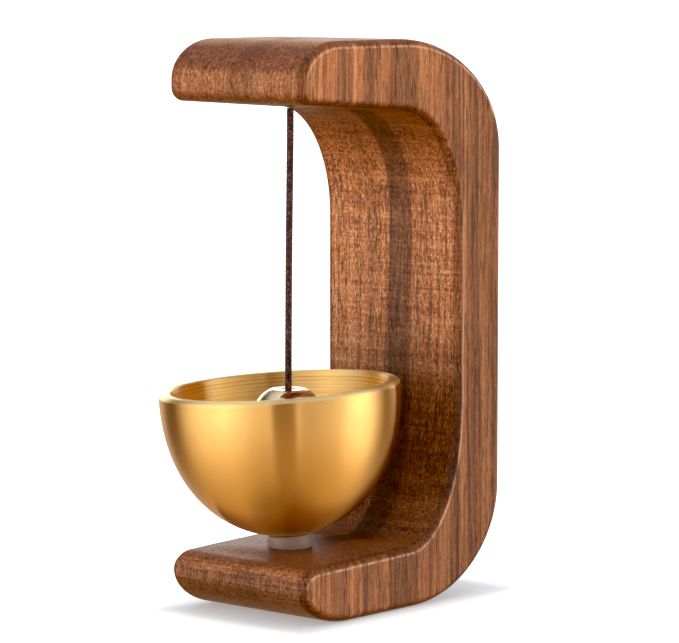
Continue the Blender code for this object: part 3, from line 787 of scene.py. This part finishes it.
def plaited_mesh(name, route, radius, sides=32, closed=False):
    """A round plaited cord along the route, its strands raised in the mesh."""
    mesh = bpy.data.meshes.new(name)
    shape = bmesh.new()
    rings, along = [], 0.0
    side = Vector((1.0, 0.0, 0.0))
    for index, point in enumerate(route):
        before, after = route[max(index - 1, 0)], route[min(index + 1, len(route) - 1)]
        if closed:
            before, after = route[index - 1], route[(index + 1) % len(route)]
        ahead = (after - before).normalized()
        side = (side - ahead * side.dot(ahead)).normalized()
        other = ahead.cross(side)
        if index:
            along += (point - route[index - 1]).length
        ring = []
        for k in range(sides):
            angle = math.tau * k / sides
            reach = radius * (0.92 + 0.08 * plait_height(k / sides, along))
            ring.append(shape.verts.new(point + (side * math.cos(angle)
                                                 + other * math.sin(angle)) * reach))
        rings.append(ring)
    pairs = list(zip(rings, rings[1:]))
    if closed:
        pairs.append((rings[-1], rings[0]))
    for one, two in pairs:
        for k in range(sides):
            shape.faces.new([one[k], one[(k + 1) % sides], two[(k + 1) % sides], two[k]])
    if not closed:
        shape.faces.new(rings[0][::-1])
        shape.faces.new(rings[-1])
    bmesh.ops.recalc_face_normals(shape, faces=shape.faces)
    shape.to_mesh(mesh)
    shape.free()
    mesh.shade_smooth()
    return mesh


def build_knot(name, centre, body, tail, material):
    """An overhand knot pulled tight, with the cord's cut end standing out of it."""
    steps = 150
    loop = []
    for step in range(steps):
        t = math.tau * step / steps
        loop.append(centre + Vector((
            0.000345 * (math.sin(t) + 2 * math.sin(2 * t)),
            0.000320 * (math.cos(t) - 2 * math.cos(2 * t)),
            -0.00062 * math.sin(3 * t))))
    piece = add_piece(name + "_loop", plaited_mesh(name, loop, 0.00054, 20, closed=True), material)
    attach(piece, body)
    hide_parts(name)
    ends = [centre + Vector((0.0002, 0.0001, 0.0)), centre + Vector((0.0005, 0.0003, tail * 0.0006)),
            centre + Vector((0.0007, 0.0002, tail * 0.00115))]
    end = add_piece(name + "_end", plaited_mesh(name + "_end", smooth_route(ends, 0.0001),
                                                0.00045, 20), material)
    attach(end, body)
    return [piece, end]


def build_cord(material):
    recess_floor = FRAME_HEIGHT - RECESS_DEPTH
    swivel_top = PIVOT.z + 0.00015 + 0.0018
    build_knot("cord_top_knot", Vector((0.0, CORD_AXIS_Y, recess_floor + GAP
                                        + KNOT_HALF_HEIGHT)), "frame", 1, material)
    runs = (
        ("cord_in_arm", "frame", [Vector((0.0, CORD_AXIS_Y, recess_floor)),
                                  Vector((0.0, CORD_AXIS_Y, swivel_top + 0.002)),
                                  Vector((PIVOT.x, PIVOT.y, swivel_top + 0.0003))]),
        ("cord_swivel", "cord_mouth", [Vector((PIVOT.x, PIVOT.y, swivel_top)),
                                       Vector((PIVOT.x, PIVOT.y, PIVOT.z + 0.00015))]),
        ("cord", "hanging_cord", CORD_ROUTE))
    for node, body, points in runs:
        route = smooth_route(points, 0.0001)
        piece = add_piece(node + "_plait", plaited_mesh(node, route, CORD_RADIUS), material)
        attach(piece, body)
        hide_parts(node)
    knot = build_knot("clapper_knot", Vector((0.0, CORD_AXIS_Y, CLAPPER_FOOT - GAP
                                              - KNOT_HALF_HEIGHT)), "hanging_cord", -1, material)


# ---------------------------------------------------------------- studio
STUDIO_PANELS = [
    # heading from the camera (degrees, positive to its right), brightness
    (-180, 0.60), (-150, 0.40), (-138, 0.06), (-120, 0.12), (-113, 0.36), (-102, 0.86),
    (-92, 1.25), (-80, 1.75), (-57, 2.15), (-42, 1.75), (-28, 1.22), (-16, 1.04), (-8, 0.98),
    (-5, 0.28), (0, 0.24), (8, 0.24), (15, 0.30), (18, 1.20), (21, 0.74), (28, 0.70),
    (44, 0.82), (60, 1.12), (70, 1.75), (84, 2.15), (96, 1.90), (104, 1.10), (112, 0.60),
    (120, 0.24), (140, 0.26), (160, 0.40), (180, 0.60)]
PANEL_PEAK = 2.2
PANEL_POWER = 1.03
LEVEL_GLOW = 1.12
BACKDROP_GLOW = 1.6
STUDIO_DIM = (0.050, 0.030, 0.014)
LOW_TINT = (1.0, 0.66, 0.30)
DIM_TINT = (1.0, 0.66, 0.45)   # the dim gaps are warm


def studio_world():
    """Two tall soft panels with a dim gap at the camera, warm and fading below the table."""
    world = bpy.data.worlds.new("studio")
    bpy.context.scene.world = world
    world.use_nodes = True
    s = Shader.__new__(Shader)
    s.nodes, s.links = world.node_tree.nodes, world.node_tree.links
    background = s.nodes["Background"]
    direction = s.add("ShaderNodeTexCoord").outputs["Generated"]
    to_right = (math.cos(CAMERA_AZIMUTH), math.sin(CAMERA_AZIMUTH), 0.0)
    to_camera = (math.sin(CAMERA_AZIMUTH), -math.cos(CAMERA_AZIMUTH), 0.0)
    sides = []
    for vector in (to_right, to_camera):
        dot = s.add("ShaderNodeVectorMath", operation="DOT_PRODUCT")
        s.feed(dot.inputs[0], direction)
        dot.inputs[1].default_value = vector
        sides.append(dot.outputs["Value"])
    heading = s.math("DIVIDE", s.math("ARCTAN2", sides[0], sides[1]), math.tau)
    stops = []
    for angle, value in STUDIO_PANELS:
        white = min(1.0, value / 0.8)
        stops.append(((angle + 180) / 360, tuple(
            value / PANEL_PEAK * (low + (1 - low) * white) for low in DIM_TINT)))
    panels = s.ramp(s.math("ADD", heading, 0.5), stops)
    height = s.split(direction)[2]
    panels = s.mix(s.span(height, -0.75, -0.20, 0.85, 0.0), panels, (LEVEL_GLOW / PANEL_PEAK,) * 3)
    above = s.span(height, 0.25, 0.75, 1.0, 0.08)
    below = s.math("MULTIPLY", s.span(height, -0.80, -0.10, 0.48, 1.0),
                   s.span(height, -0.99, -0.88, 0.10, 1.0))
    strength = s.math("MULTIPLY", s.math("MULTIPLY", above, below), PANEL_PEAK * PANEL_POWER)
    behind = s.span(s.math("ABSOLUTE", heading), 0.34, 0.42)
    low = s.math("MULTIPLY", s.span(height, -0.06, 0.02), s.span(height, 0.24, 0.42, 1.0, 0.0))
    extra = s.math("ADD", s.math("MULTIPLY", s.math("MULTIPLY", behind, low), BACKDROP_GLOW),
                   s.span(height, 0.50, 0.85, 0.0, 0.62))
    tint = s.mix(s.span(height, -0.85, -0.05), LOW_TINT, (1.0, 0.985, 0.96))
    glow = s.add("ShaderNodeVectorMath", operation="SCALE")
    s.feed(glow.inputs[0], panels)
    s.feed(glow.inputs["Scale"], strength)
    both = s.add("ShaderNodeVectorMath", operation="ADD")
    s.feed(both.inputs[0], glow.outputs["Vector"])
    s.feed(both.inputs[1], extra)
    light = s.add("ShaderNodeVectorMath", operation="MULTIPLY_ADD")
    s.feed(light.inputs[0], both.outputs["Vector"])
    s.feed(light.inputs[1], tint)
    light.inputs[2].default_value = STUDIO_DIM
    seen = s.add("ShaderNodeLightPath").outputs["Is Camera Ray"]
    s.feed(background.inputs["Color"], s.mix(seen, light.outputs["Vector"], (1.0, 1.0, 1.0)))


def studio_floor():
    """Pale floor that only the camera sees; the light below the table is in the world."""
    mesh = bpy.data.meshes.new("studio_floor")
    shape = bmesh.new()
    bmesh.ops.create_grid(shape, x_segments=1, y_segments=1, size=40.0)
    shape.to_mesh(mesh)
    shape.free()
    s = Shader("pale_floor")
    s.set(Base_Color=(0.82, 0.90, 1.0), Roughness=1.0, Specular_IOR_Level=0.0)
    x, y, z = s.split()
    beside = s.math("MAXIMUM", s.math("SUBTRACT", s.math("ABSOLUTE", x), FRAME_WIDTH / 2), 0.0)
    beyond = s.math("MAXIMUM", s.math("SUBTRACT", s.math("ABSOLUTE", y), BACK), 0.0)
    away = s.math("SQRT", s.math("ADD", s.math("MULTIPLY", beside, beside),
                                 s.math("MULTIPLY", beyond, beyond)))
    # the floor glows white away from the frame's footprint, and the glow fades out close to it; the
    # grey there is partly the real cast shadow and partly painted shade, whose reach the fade sets
    s.set(Emission_Color=(1.0, 1.0, 1.0), Emission_Strength=s.span(away, -0.008, 0.014, 0.0, 1.0))
    floor = add_piece("studio_floor", mesh, s.material)
    floor.visible_diffuse = floor.visible_glossy = False
    floor.visible_transmission = floor.visible_shadow = False


def build_studio():
    studio_world()
    studio_floor()
    data = bpy.data.lights.new("top_softbox", "AREA")
    data.shape, data.size, data.size_y, data.energy = "RECTANGLE", 0.5, 0.5, 0.6
    lamp = bpy.data.objects.new("top_softbox", data)
    lamp.location = (-0.05, 0.10, 0.80)
    bpy.context.scene.collection.objects.link(lamp)


def build_camera():
    data = bpy.data.cameras.new("camera")
    data.lens = CAMERA_LENS
    data.sensor_width = SENSOR_WIDTH
    data.sensor_fit = "HORIZONTAL"
    data.clip_start, data.clip_end = 0.01, 20.0
    camera = bpy.data.objects.new("camera", data)
    bpy.context.scene.collection.objects.link(camera)
    camera.location = (CAMERA_DISTANCE * math.sin(CAMERA_AZIMUTH),
                       -CAMERA_DISTANCE * math.cos(CAMERA_AZIMUTH), CAMERA_HEIGHT)
    camera.rotation_euler = (CAMERA_AIM - camera.location).to_track_quat("-Z", "Y").to_euler()
    bpy.context.scene.camera = camera


# ---------------------------------------------------------------- build
build_camera()
walnut = walnut_material()
brass = brass_material()
silicone = silicone_material()
thread = cord_material()
build_frame(walnut)
build_magnets(steel_material("nickel", (0.58, 0.57, 0.54), 0.30))
build_bowl(brass)
washer_top = build_washers(silicone)
build_screw(steel_material("screw_steel", (0.66, 0.65, 0.62), 0.22), washer_top)
build_clapper(clapper_material())
build_cord(thread)
build_studio()
view = bpy.context.scene.view_settings
view.view_transform = "Standard"
view.use_curve_mapping = True
view.curve_mapping.black_level = (0.012, 0.012, 0.012)
view.curve_mapping.update()
